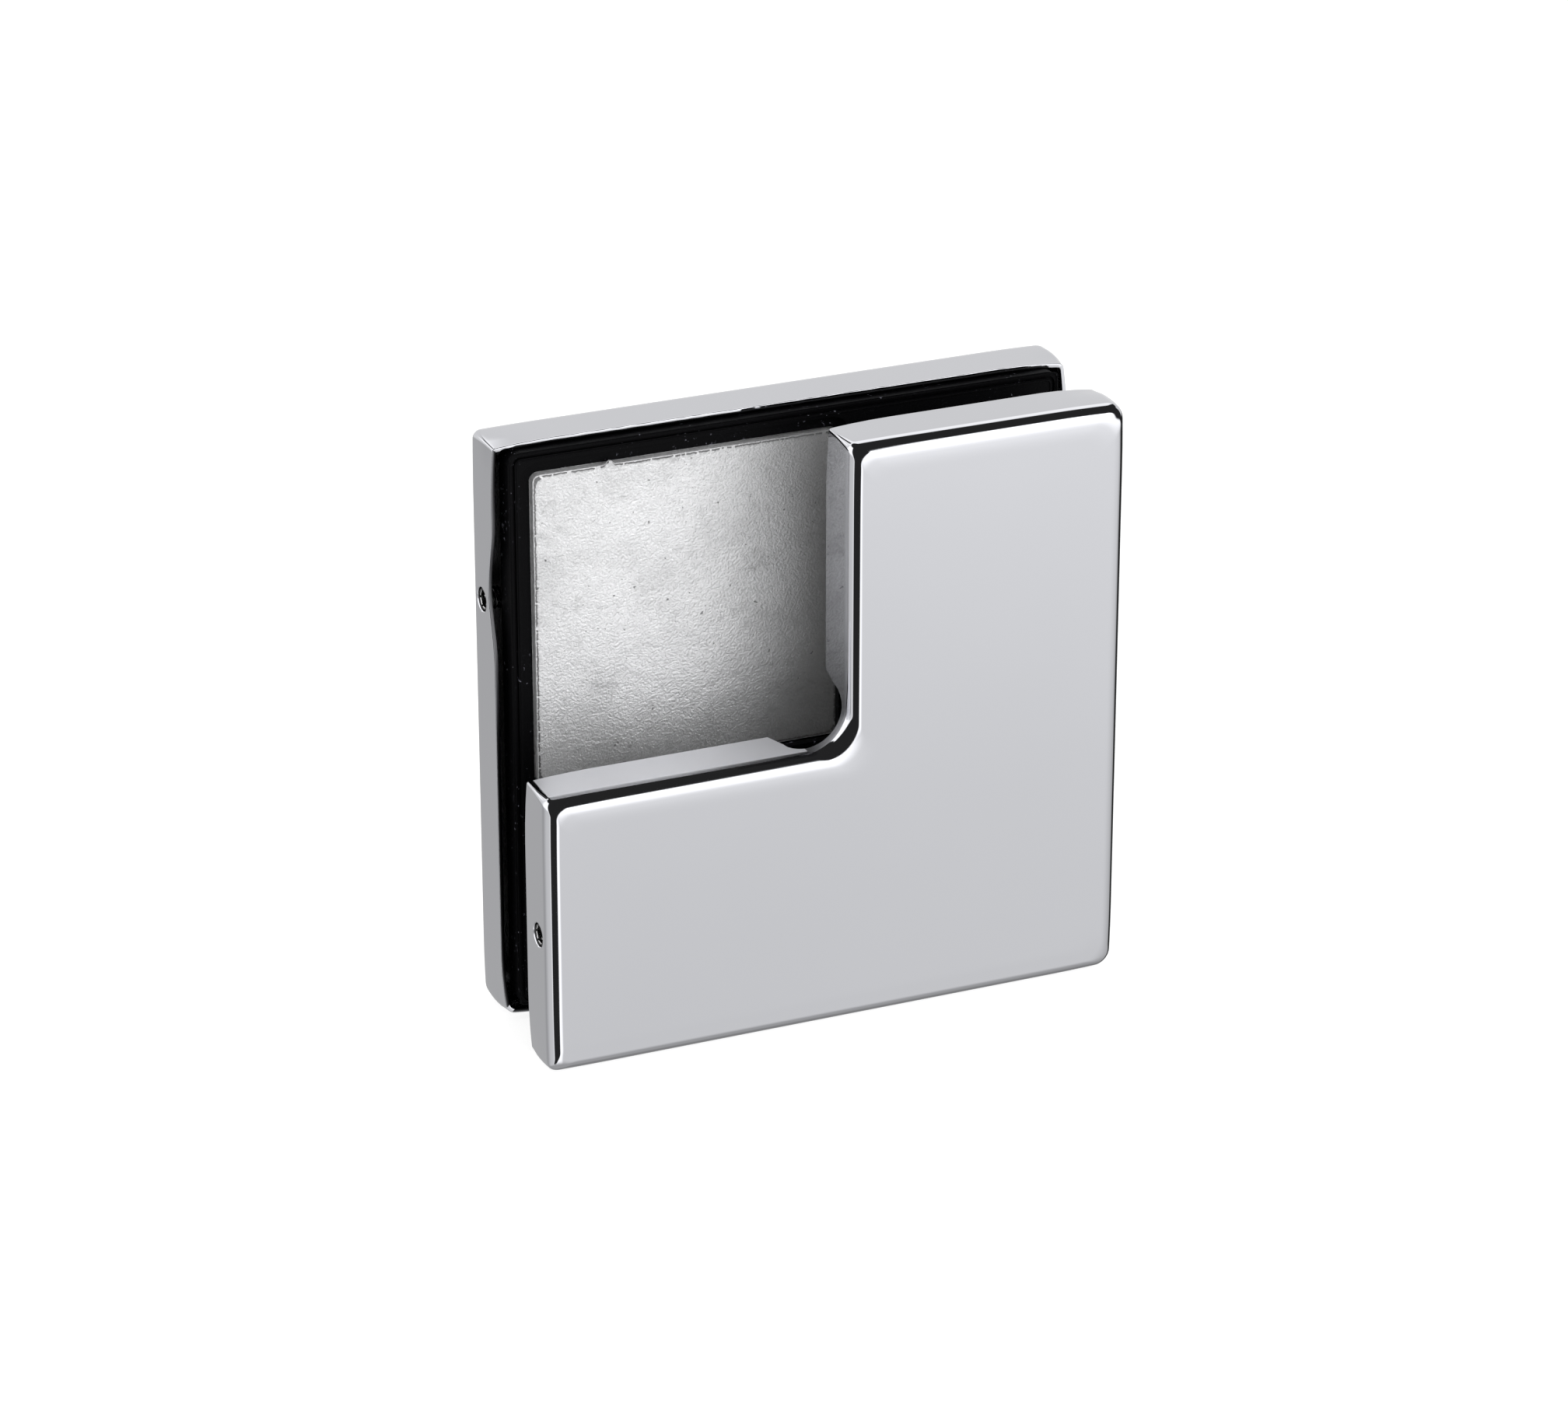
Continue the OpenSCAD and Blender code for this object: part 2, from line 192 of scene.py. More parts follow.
class Shader:
    """Builds one node tree."""

    def __init__(self, tree):
        self.tree = tree
        tree.nodes.clear()

    def add(self, kind, settings=None, inputs=None, output=0):
        """Adds a node with its settings and inputs, and gives one of its outputs."""
        node = self.tree.nodes.new(kind)
        for name, value in (settings or {}).items():
            if name == "stops":
                self._stops(node.color_ramp, value)
            else:
                setattr(node, name, value)
        for name, value in (inputs or {}).items():
            socket = node.inputs[name]
            if isinstance(value, Value):
                self.tree.links.new(value.socket, socket)
            else:
                socket.default_value = value
        return Value(self, node.outputs[output]) if node.outputs else None

    @staticmethod
    def _stops(ramp, stops):
        while len(ramp.elements) < len(stops):
            ramp.elements.new(1.0)
        for element, (position, level) in zip(ramp.elements, stops):
            element.position = position
            element.color = grey(level)

    def place(self, scale=(1, 1, 1), turn=(0, 0, 0)):
        """Object coordinates, turned and scaled."""
        coordinates = self.add("ShaderNodeTexCoord", output="Object")
        return self.add("ShaderNodeMapping", {}, {"Vector": coordinates, "Scale": scale, "Rotation": turn})

    def wear(self):
        """Shade painted on the vertices of a piece; below 0 where brushed and painted lighter; none on the
        bare nodes.
        """
        return self.add("ShaderNodeAttribute", {"attribute_name": "wear"}, output="Fac")

    def noise(self, size, detail=3.0, roughness=0.5, scale=(1, 1, 1), turn=(0, 0, 0)):
        """Noise with grains of a size in metres."""
        return self.add(
            "ShaderNodeTexNoise", {"noise_dimensions": "3D"},
            {"Vector": self.place(scale, turn), "Scale": 1.0 / size,
             "Detail": detail, "Roughness": roughness})

    def mix(self, factor, first, second):
        """Mixes two colours."""
        return self.add(
            "ShaderNodeMix", {"data_type": "RGBA"},
            {"Factor": factor, 6: first, 7: second}, output=2)

    def bump(self, height, distance):
        """Normal of a relief whose height is measured in a distance in metres."""
        return self.add("ShaderNodeBump", {}, {"Height": height, "Distance": distance, "Strength": 1.0})

    def surface(self, **inputs):
        """A Principled surface on the material output; underscores in names stand for spaces."""
        named = {name.replace("_", " "): value for name, value in inputs.items()}
        closure = self.add("ShaderNodeBsdfPrincipled", {}, named)
        self.add("ShaderNodeOutputMaterial", {}, {"Surface": closure})


def grey(level):
    """A grey with full alpha."""
    return (level, level, level, 1.0)


def new_material(name):
    """A material with an empty node tree, and the builder of that tree."""
    material = bpy.data.materials.new(name)
    material.use_nodes = True
    return material, Shader(material.node_tree)


def shade(colour, level):
    """A colour made lighter or darker, with full alpha."""
    return tuple(min(1.0, channel * level) for channel in colour) + (1.0,)


def polished_steel(colour):
    """Mirror polish with faint haze and fine wiping marks; dark and duller where shade is painted on rim
    edges, matt where brushed, with its colour painted paler there.
    """
    material, shader = new_material("polished_steel")
    haze = shader.noise(0.03, 2.0)
    wipes = shader.noise(0.004, 4.0, 0.6, scale=(1, 1, 14), turn=(0, radians(35), 0)).between(0.5, 0.75)
    wear = shader.wear()
    tint = shader.mix(haze, shade(colour, 0.985), shade(colour, 1.015))
    # painted shade on the rim edges: grey up to a value of 1, nearly black up to 2
    tint = shader.mix(wear.between(0, 1), tint, shade(colour, 0.2))
    tint = shader.mix(wear.between(1, 2), tint, shade(colour, 0.01))
    # the brushed floor of the notch is matt, and its colour is painted lighter as if lit from above
    brushed_and_painted_light = (0 - wear).between(0, 1)
    tint = shader.mix(brushed_and_painted_light, tint, shade(colour, 1.27))
    shader.surface(
        Base_Color=tint, Metallic=1 - brushed_and_painted_light * 0.6,
        Roughness=0.035 + haze * 0.02 + wipes * 0.012 + wear.between(0, 1) * 0.3 + brushed_and_painted_light * 0.3,
        Normal=shader.bump(haze, 0.00001))
    return material


def cast_aluminium(colour):
    """Leathery as-cast skin with stains and specks; painted shade darkens it towards the inner corner, a
    little towards the left, nearly to black on its flanks, and along the land's edge.
    """
    material, shader = new_material("cast_aluminium")
    grain = shader.noise(0.00045, 3.0, 0.6)
    sand = shader.noise(0.0014, 4.0, 0.6)
    cloud = shader.noise(0.012, 5.0, 0.62)
    smear = shader.noise(0.011, 6.0, 0.68, scale=(1, 1, 2.4), turn=(0, radians(14), 0)).between(0.53, 0.7)
    specks = shader.noise(0.0011, 2.0, 0.5).between(0.73, 0.78)
    stain = (cloud.between(0.42, 0.7) * 0.35 + smear * (0.25 + sand.between(0.4, 0.6) * 0.35)
             + sand.between(0.45, 0.75) * 0.2 + grain.between(0.38, 0.62) * 0.25)
    tint = shader.mix(stain, shade(colour, 1.05), shade(colour, 0.68))
    tint = shader.mix(specks * 0.8, tint, shade(colour, 0.2))
    # painted shade: the dark line in the crease along the land's edge
    tint = shader.mix(shader.wear() * 0.9, tint, shade(colour, 0.02))
    across, deep = (
        shader.add("ShaderNodeSeparateXYZ", {}, {"Vector": shader.place()}, axis) for axis in "XY")
    flank_shade_start, flank_shade_end = 0.0062, 0.0078  # distances from the middle of the glass
    # painted shade towards the inner corner, where the walls of the notch shut out light
    tint = shader.mix(across.between(-0.02, 0.006) * 0.55, tint, shade(colour, 0.3))
    # a little painted shade towards the left edge, beside the cover's wall
    tint = shader.mix((1 - across.between(-0.047, -0.027)) * 0.14, tint, shade(colour, 0.3))
    # painted shade: the flanks, seen in the gap under the covers, nearly black
    tint = shader.mix((deep * deep).between(flank_shade_start ** 2, flank_shade_end ** 2), tint, shade(colour, 0.03))
    height = grain * 1.2 + sand * 0.8 + cloud * 0.5 - specks * 0.5
    shader.surface(
        Base_Color=tint, Metallic=0.5, Roughness=0.25 + grain * 0.08 + stain * 0.08 + specks * 0.2,
        Normal=shader.bump(height, 0.00018))
    return material


def black_rubber(colour):
    """Moulded rubber with a fine skin, a trace of dust and a few pale flecks."""
    material, shader = new_material("black_rubber")
    skin = shader.noise(0.0005, 3.0, 0.6)
    dust = (shader.noise(0.009, 4.0, 0.6).between(0.5, 0.8)
            * shader.noise(0.0004, 2.0, 0.5).between(0.55, 0.75))
    tint = shader.mix(dust, shade(colour, 1.0), shade(colour, 6.0))
    flecks = (shader.noise(0.0007, 2.0, 0.5).between(0.66, 0.74)
              * shader.noise(0.007, 3.0, 0.6).between(0.48, 0.62))
    tint = shader.mix(flecks, tint, shade(colour, 90.0))
    shader.surface(
        Base_Color=tint, Roughness=0.5 + dust * 0.2 + skin * 0.08, Specular_IOR_Level=0.05,
        Normal=shader.bump(skin, 0.00004))
    return material


def zinc_plate(colour, name, roughness):
    """Bright plated steel with a cloudy surface, dark where shade is painted on its vertices."""
    material, shader = new_material(name)
    cloud = shader.noise(0.0025, 3.0, 0.6)
    tint = shader.mix(cloud, shade(colour, 0.9), shade(colour, 1.1))
    # painted shade from the vertices darkens the set screws
    tint = shader.mix(shader.wear(), tint, shade(colour, 0.05))
    shader.surface(
        Base_Color=tint, Metallic=1.0, Roughness=roughness + cloud * 0.1, Normal=shader.bump(cloud, 0.00001))
    return material


def white_nylon(colour):
    """Matt turned nylon with faint tool marks around the bush."""
    material, shader = new_material("white_nylon")
    rings = shader.noise(0.0012, 2.0, 0.5, scale=(0.05, 1, 0.05))
    shader.surface(
        Base_Color=shader.mix(rings, shade(colour, 0.96), shade(colour, 1.03)),
        Roughness=0.5 + rings * 0.1, Normal=shader.bump(rings, 0.00002))
    return material


def dress(names, material):
    """Gives a material to nodes of the frame."""
    for name in names:
        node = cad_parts[name]
        node.data.materials.clear()
        node.data.materials.append(material)


class Outline:
    """Closed outline of straight sides and round corners, seen from the front, anticlockwise."""
    HALF = 16  # vertices on each half of a round corner
    INNER_REACH = 0.0076  # length of a side that an inner corner takes up
    INNER_START = 0.0079  # distance of the first station from an inner corner
    GAP = 0.0004  # plain stations closer than this to a mark are left out
    FIRM = 0.55  # share by which a corner that isn't soft is drawn in

    def __init__(self, corners, marks, span=0.012, soft=None, step=0.003, reach=0.0046, start=0.0115):
        self.span = span
        self.soft = soft or [0.0] * len(corners)
        self.step = step
        self.reach = reach
        self.start = start
        count = len(corners)
        self.corners = [Vector(corner) for corner in corners]
        self.ahead = [(self.corners[(i + 1) % count] - self.corners[i]).normalized() for i in range(count)]
        self.inward = [Vector((-way.y, way.x)) for way in self.ahead]
        self.convex = [self.ahead[i].dot(self.inward[i - 1]) > 0 for i in range(count)]
        self.stations = [self._stations(i, marks.get(i, ())) for i in range(count)]

    def _stations(self, side, marks):
        """Distances along a side at which every ring has a vertex."""
        following = (side + 1) % len(self.corners)
        span = (self.corners[following] - self.corners[side]).length
        start, end = (self.start if self.convex[i] else self.INNER_START for i in (side, following))
        steps = round((span - start - end) / self.step)
        plain = [start + (span - start - end) * i / steps for i in range(steps + 1)]
        kept = [place for place in plain if all(abs(place - mark) > self.GAP for mark in marks)]
        return sorted(kept + list(marks))

    def _rounded(self, i, inset, radius):
        """Points of one round corner, on lines at fixed distances from its diagonal."""
        back, out = -self.ahead[i - 1], self.ahead[i]
        diagonal, across = (out + back) / sqrt(2), (out - back) / sqrt(2)
        reach, bend = (self.reach, 1.5) if self.convex[i] else (self.INNER_REACH, 1.0)
        inset = inset if self.convex[i] else -inset
        points = []
        for k in range(-self.HALF, self.HALF + 1):
            share = k / self.HALF
            aside = reach / sqrt(2) * abs(share) ** bend * (1 if k > 0 else -1)
            along = abs(aside) + sqrt(2) * inset
            if abs(aside) < radius / sqrt(2):
                along = sqrt(2) * (radius + inset) - sqrt(radius ** 2 - aside ** 2)
            points.append(self.corners[i] + across * aside + diagonal * along)
        return points

    def ring(self, inset, outer_r, inner_r, bow=0.0):
        """Points of the outline set in by a distance, with its corners drawn in further."""
        arcs = [self._rounded(i, inset, outer_r + self.soft[i] if self.convex[i] else inner_r)
                for i in range(len(self.corners))]
        points = []
        for i, arc in enumerate(arcs):
            places = [self.corners[i] + self.ahead[i] * far + self.inward[i] * inset
                      for far in self.stations[i]]
            nearest = arcs[(i + 1) % len(arcs)][0]
            points += arc + [arc[-1].lerp(places[0], 0.5)] + places + [places[-1].lerp(nearest, 0.5)]
        return [self._drawn_in(point, bow) for point in points]

    def _drawn_in(self, point, bow):
        """Moves a point in where it lies near an outer corner."""
        shift = Vector((0, 0))
        for i, corner in enumerate(self.corners):
            if not self.convex[i]:
                continue
            pull = bow * (1.0 if self.soft[i] else self.FIRM)
            back, out = (point - corner).dot(-self.ahead[i - 1]), (point - corner).dot(self.ahead[i])
            near = [max(0.0, 1 - max(far, 0.0) / self.span) ** 2 for far in (back, out)]
            deep = [max(0.0, 1 - max(far, 0.0) / (2 * self.span)) ** 2 for far in (back, out)]
            shift += self.inward[i - 1] * pull * near[0] * deep[1]
            shift += self.inward[i] * pull * near[1] * deep[0]
        return point + shift


def drawn_out(form, edges):
    """Draws edges out into faces, and gives the new vertices and the edges between them."""
    drawn = bmesh.ops.extrude_edge_only(form, edges=edges)["geom"]
    verts = [item for item in drawn if isinstance(item, bmesh.types.BMVert)]
    fresh = set(verts)
    return verts, [item for item in drawn
                   if isinstance(item, bmesh.types.BMEdge) and set(item.verts) <= fresh]


def painted_shade_layer(form):
    """The shade painted on the vertices of a form; below 0 where brushed and painted lighter."""
    layers = form.verts.layers.float
    return layers.get("wear") or layers.new("wear")


class RingSkin:
    """A skin made by drawing one ring of vertices out to the next."""

    def __init__(self, form, side, closed=True):
        self.form = form
        self.side = side
        self.closed = closed
        self.wear = painted_shade_layer(form)
        self.verts = []
        self.edges = []

    def draw(self, points, depths, painted_shades=0.0):
        """Draws the skin out to a ring of points at distances from the middle of the glass."""
        if not self.verts:
            self.verts = bmesh.ops.create_circle(self.form, radius=1, segments=len(points))["verts"]
            self.edges = list({edge for vert in self.verts for edge in vert.link_edges})
            if self.closed:
                self.cap()
        else:
            verts, self.edges = drawn_out(self.form, self.edges)
            fresh = set(verts)
            self.verts = [next(edge.other_vert(vert) for edge in vert.link_edges
                               if edge.other_vert(vert) in fresh) for vert in self.verts]
        if isinstance(painted_shades, float):
            painted_shades = [painted_shades] * len(points)
        for vert, point, depth, wear in zip(self.verts, points, depths, painted_shades):
            vert.co = (point.x, self.side * depth, point.y)
            vert[self.wear] = wear

    def cap(self):
        """Closes the last ring with a face."""
        bmesh.ops.edgeloop_fill(self.form, edges=self.edges)


def pierce(form, place, radius, box):
    """Opens a round hole in a flat wall within a box of wall faces, and gives the edges of its rim."""
    low, high = box
    inside = [face for face in form.faces
              if all(low[k] < face.calc_center_median()[k] < high[k] for k in range(3))]
    if not inside:
        raise RuntimeError("no wall to pierce")
    counts = {}
    for face in inside:
        for edge in face.edges:
            counts[edge] = counts.get(edge, 0) + 1
    border = [edge for edge, count in counts.items() if count == 1]
    bmesh.ops.delete(form, geom=inside, context="FACES")
    verts, rim = drawn_out(form, border)
    for vert in verts:
        away = Vector((0, vert.co.y - place.y, vert.co.z - place.z))
        vert.co = place + away.normalized() * radius
    return rim


def screw_hole(form, way, inside, outside, sizes):
    """Opens a hole with a bevelled mouth for a set screw through both skins of a wall."""
    reach = Vector((0.0002, 0.0024, 0.0027))
    radius = sizes.screw / 2 + sizes.hole_clear
    mouth = radius + sizes.hole_edge
    inner = pierce(form, inside, radius, (inside - reach, inside + reach))
    outer = pierce(form, outside, mouth, (outside - reach, outside + reach))
    verts, throat = drawn_out(form, outer)
    bmesh.ops.scale(form, verts=verts, vec=(1, radius / mouth, radius / mouth),
                    space=Matrix.Translation(-outside))
    bmesh.ops.translate(form, verts=verts, vec=(-way * sizes.hole_edge, 0, 0))
    bmesh.ops.bridge_loops(form, edges=inner + throat)
    for edge in inner + outer + throat:
        edge.smooth = False


def new_piece(name, form, material):
    """Turns a form into an object with a material."""
    mesh = bpy.data.meshes.new(name)
    form.to_mesh(mesh)
    form.free()
    mesh.materials.append(material)
    piece = bpy.data.objects.new(name, mesh)
    bpy.context.collection.objects.link(piece)
    return piece


def finished(name, form, material, node=None):
    """Turns a form into a smooth piece that rides on the body."""
    bmesh.ops.recalc_face_normals(form, faces=form.faces)
    for face in form.faces:
        face.smooth = True
    piece = new_piece(name, form, material)
    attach(piece, BODY)
    if node:
        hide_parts(node)


def cover(name, node, corners, marks, holes, cut, wear, soft, sizes, material):
    """Builds one pressed cover: inside, lip, walls, rounded edges and slightly crowned face."""
    low, high = (Vector(corner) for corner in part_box(node))
    side = -1 if low.y + high.y < 0 else 1
    rim, face = sorted((abs(low.y), abs(high.y)))
    outline = Outline(corners, marks, sizes.bow_span, [sizes.soft * share for share in soft])
    sheet, edge = sizes.sheet, sizes.edge
    start = face - sizes.sag - edge
    base = outline.ring(0, sizes.rim_corner, sizes.inner_corner)
    rims = [rim + cut(point) for point in base]
    rim_shades_and_wall_brushing = [wear(point) for point in base]
    walls = [wall for _, _, wall in rim_shades_and_wall_brushing]
    hole_y = rim + sizes.screw_depth
    levels = [hole_y + step for step in (-0.0026, -0.0013, 0.0, 0.0012, 0.00225)]
    inside_steps, edge_steps, edge_turn = 6, 14, radians(87)

    def at(depth):
        """One depth for a whole ring."""
        return [depth] * len(base)

    def on_wall(step):
        """Depths of a ring on the walls, kept clear of the cuts in the rim."""
        return [max(levels[step], lip + 0.0006 + step * 0.0001) for lip in rims]

    def ring(depth, inset, outer_r=None, inner_r=None):
        """Outline at a depth; its corners grow rounder and less drawn in from the rim to the face."""
        share = min(1.0, max(0.0, (depth - rim) / (start - rim)))
        grown = sizes.rim_corner + (sizes.wall_corner - sizes.rim_corner) * share ** 2
        return outline.ring(
            inset, max(0.0001, grown - inset * 0.6) if outer_r is None else outer_r,
            sizes.inner_corner + 0.5 * inset if inner_r is None else inner_r,
            sizes.bow * (0.3 + 0.7 * (1 - share) ** 2))

    form = bmesh.new()
    skin = RingSkin(form, side)
    inner_edge = edge - sheet
    for step in range(inside_steps, -1, -1):
        turn = radians(90) * step / inside_steps
        skin.draw(ring(start, sheet + inner_edge * (1 - cos(turn))),
                  at(face - sheet - inner_edge * (1 - sin(turn))))
    for step in reversed(range(len(levels))):
        skin.draw(ring(levels[step], sheet), on_wall(step))
    lip_r = 0.00012
    # rings of the lip: inset, rise from the rim, and shares of the painted shade on the rim's outer and
    # inner edges
    for inset, rise, first, second in (
            (sheet, 0.0003, 0, 1), (sheet, lip_r, 0, 1), (sheet - 0.3 * lip_r, 0.3 * lip_r, 0, 1),
            (sheet - lip_r, 0, 0, 1), (0.5 * sheet, 0, 0.3, 0.7), (2 * lip_r, 0, 1, 0), (lip_r, 0, 0.6, 0),
            (0.3 * lip_r, 0.3 * lip_r, 0, 0), (0, lip_r, 0, 0), (0, 0.0003, 0, 0)):
        skin.draw(ring(rim, inset), [lip + rise for lip in rims],
                  [first * outer + second * inner + (inset == 0) * wall for outer, inner, wall in rim_shades_and_wall_brushing])
    for step in range(len(levels)):
        skin.draw(ring(levels[step], 0), on_wall(step), walls)
    for step in range(edge_steps + 1):
        turn = edge_turn * step / edge_steps
        inset = edge * (1 - cos(turn))
        grown = sizes.wall_corner + (sizes.face_corner - sizes.wall_corner) * inset / edge
        skin.draw(ring(face, inset, grown, sizes.inner_corner - 0.7 * inset), at(start + edge * sin(turn)),
                  0.0 if step else walls)
    for share in (0.08, 0.2, 0.35, 0.52, 0.7, 0.86, 1.0, 1.12):
        skin.draw(ring(face, edge + sizes.crown * share, sizes.face_corner, sizes.inner_corner - 0.7 * edge),
                  at(face - sizes.sag * max(0.0, 1 - share) ** 3))
    skin.cap()
    for way, height in holes:
        inside, outside = (Vector((way * wall, side * hole_y, height)) for wall in (high.x - sheet, high.x))
        screw_hole(form, way, inside, outside, sizes)
    finished(name, form, material, node)


def hole_marks(height):
    """Stations around a hole at a distance along a wall."""
    reach, steps = 0.0028, 5
    return tuple(height + reach * k / steps for k in range(-steps, steps + 1))


def hump(offset, width):
    """Bell curve of height 1 around zero."""
    return 2.7 ** -((offset / width) ** 2)


def front_cover(sizes, material):
    """L-shaped cover, with the relief in its rim around the inner corner."""
    low, high = (Vector(corner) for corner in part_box("front_cover"))
    notch = Vector((high.x - sizes.arm, low.z + sizes.arm))
    shoulder = sizes.relief_depth - sizes.relief_round
    polished_end = 0.0013

    def relief(point):
        """Depth of the relief at a point of the rim."""
        if point.x > notch.x + NEAR or point.y < notch.y - NEAR:
            return 0.0
        along = max(point.y - notch.y, notch.x - point.x)
        floor = sizes.relief_waist - sizes.relief_round
        if along >= sizes.relief_waist:
            slope = sizes.relief_mouth - sizes.relief_waist
            return max(0.0, shoulder * (sizes.relief_mouth - along) / slope)
        if along > floor:
            return shoulder + sqrt(sizes.relief_round ** 2 - (along - floor) ** 2)
        return sizes.relief_depth

    def wear(point):
        """The wall below the notch is brushed and its colour painted lighter, up to its polished end; no
        shade is painted on this cover.
        """
        brushed_and_painted_light = (abs(point.y - notch.y) < NEAR
                   and low.x + polished_end < point.x < notch.x - sizes.inner_corner)
        return 0.0, 0.0, -1.0 if brushed_and_painted_light else 0.0

    flank = [sizes.relief_waist - sizes.relief_round * (1 - sin(radians(90) * k / 8)) for k in range(3, 8)]
    flank += [sizes.relief_waist + (sizes.relief_mouth - sizes.relief_waist) * k / 4 for k in range(5)]
    corners = ((low.x, low.z), (high.x, low.z), (high.x, high.z), (notch.x, high.z), notch, (low.x, notch.y))
    marks = {
        1: hole_marks(sizes.screw_high - low.z),
        3: [high.z - notch.y - far for far in flank],
        4: flank,
        5: hole_marks(notch.y - sizes.screw_low)}
    holes = ((-1, sizes.screw_low), (1, sizes.screw_high))
    cover("front_cover_skin", "front_cover", corners, marks, holes, relief, wear,
          (0, 1, 1, 0, 0, 0), sizes, material)


def rear_cover(sizes, material):
    """Square cover, with the dip in its left rim and a ragged cut along its upper rim."""
    low, high = (Vector(corner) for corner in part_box("rear_cover"))
    ragged, waves = 0.00012, 500

    def dip(point):
        """Depth of the cut at a point of the rim."""
        away = point.y - sizes.dip_height
        if point.x < low.x + NEAR and abs(away) < sizes.dip_length / 2:
            return sizes.dip_depth * (0.5 + 0.5 * cos(radians(360) * away / sizes.dip_length))
        if point.y > high.z - NEAR:
            return ragged * noise.noise(Vector((point.x * waves, 0.5, 0.5)))
        return 0.0

    def wear(point):
        """Painted shade on the rim's two edges, and no brushing of the wall: grey at the dip, dark at the
        left and below.
        """
        if point.x < low.x + NEAR:
            return 1.0, 2 - hump(point.y - sizes.dip_height, 0.014), 0.0
        return (1.2, 2.0, 0.0) if point.y < low.z + NEAR else (0.0, 0.0, 0.0)

    hole = high.z - sizes.screw_high
    hole_reach = 0.0034
    close = [0.0125 + 0.0006 * k for k in range(139)]  # stations along the ragged upper rim
    bend = [high.z - sizes.dip_height + sizes.dip_length * k / 20 for k in range(-10, 11)]
    corners = ((low.x, low.z), (high.x, low.z), (high.x, high.z), (low.x, high.z))
    marks = {
        1: hole_marks(sizes.screw_low - low.z),
        2: close,
        3: hole_marks(hole) + tuple(far for far in bend if abs(far - hole) > hole_reach)}
    holes = ((-1, sizes.screw_high), (1, sizes.screw_low))
    cover("rear_cover_skin", "rear_cover", corners, marks, holes, dip, wear, (1, 1, 0.3, 0), sizes, material)


def chain(form, points):
    """Grows a line of edges from point to point."""
    vert = bmesh.ops.create_vert(form, co=points[0])["vert"][0]
    grown = [vert]
    for point in points[1:]:
        step = bmesh.ops.extrude_vert_indiv(form, verts=[vert])
        vert = step["verts"][0]
        vert.co = point
        grown += [vert] + step["edges"]
    return grown


def set_screw(form, sizes, steps=48):
    """Builds one set screw along z, its socket end at zero."""
    wear = painted_shade_layer(form)
    radius, pitch = sizes.screw / 2, sizes.pitch
    root = radius - 0.6 * pitch
    neck = 0.0005
    turns = int((sizes.screw_length - neck - 0.001) / pitch)
    groove = chain(form, [
        (radius, 0, neck), (radius, 0, neck + pitch * 0.12), (root, 0, neck + pitch * 0.5),
        (root, 0, neck + pitch * 0.62), (radius, 0, neck + pitch)])
    bmesh.ops.spin(form, geom=groove, cent=(0, 0, 0), axis=(0, 0, 1), dvec=(0, 0, pitch / steps),
                   angle=tau * turns, steps=steps * turns)
    end = neck + pitch * turns
    mouth = radius - 0.0003
    for profile in (
            [(mouth, 0, 0), (radius - 0.0002, 0, 0), (radius, 0, 0.0002), (radius, 0, neck + pitch)],
            [(root, 0, end), (root, 0, sizes.screw_length - 0.0007), (0.0006, 0, sizes.screw_length)]):
        bmesh.ops.spin(form, geom=chain(form, profile), cent=(0, 0, 0), axis=(0, 0, 1),
                       angle=tau, steps=steps, use_merge=True)
    bmesh.ops.remove_doubles(form, verts=form.verts, dist=1e-7)
    for vert in form.verts:
        # painted shade: the end nearly black, the thread half dark
        vert[wear] = 1.0 if vert.co.z < 0.0004 else 0.5
    rim = [edge for edge in form.edges if edge.is_boundary and
           all(abs(vert.co.z) < 1e-6 and abs(vert.co.xy.length - mouth) < 1e-6 for vert in edge.verts)]
    half = sizes.socket / 2
    # rings of the socket: depth, distance of its flats from the middle, and painted shade, dark at the mouth
    # and deep down
    for level, wide, painted_shade in (
            (0.0001, mouth, 1.0), (0.0002, half, 0.0), (0.0007, half, 0.2),
            (0.0011, half, 1.0), (0.0021, half, 1.0), (0.0024, sizes.socket / 3, 1.0)):
        ring, rim = drawn_out(form, rim)
        for vert in ring:
            turn = atan2(vert.co.y, vert.co.x)
            away = wide if wide == mouth else wide / cos((turn + radians(390)) % radians(60) - radians(30))
            vert.co = (away * cos(turn), away * sin(turn), level)
            vert[wear] = painted_shade
    bmesh.ops.edgeloop_fill(form, edges=rim)


def creased(form, angle):
    """Breaks the smooth shading at edges sharper than an angle."""
    for edge in form.edges:
        edge.smooth = edge.calc_face_angle(0.0) < angle


def set_screws(sizes, material):
    """The four set screws, each at its wall and pointing inwards."""
    high = Vector(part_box("front_cover")[1])
    screw_y = -high.y + sizes.screw_depth
    screws = bmesh.new()
    for way, deep, height in ((-1, -1, sizes.screw_low), (1, -1, sizes.screw_high),
                              (-1, 1, sizes.screw_high), (1, 1, sizes.screw_low)):
        form = bmesh.new()
        set_screw(form, sizes)
        inward = Vector((-way, 0, 0))
        place = Vector((way * high.x, deep * screw_y, height)) + inward * sizes.screw_sink
        turn = Vector((0, 0, 1)).rotation_difference(inward).to_matrix().to_4x4()
        spread = Matrix.Rotation(radians(4 * way * deep), 4, "Z")
        bmesh.ops.transform(form, matrix=Matrix.Translation(place) @ turn @ spread, verts=form.verts)
        bmesh.ops.recalc_face_normals(form, faces=form.faces)
        part = bpy.data.meshes.new("screw")
        form.to_mesh(part)
        form.free()
        screws.from_mesh(part)
        bpy.data.meshes.remove(part)
    creased(screws, radians(28))
    finished("set_screws", screws, material, "cover_screws")


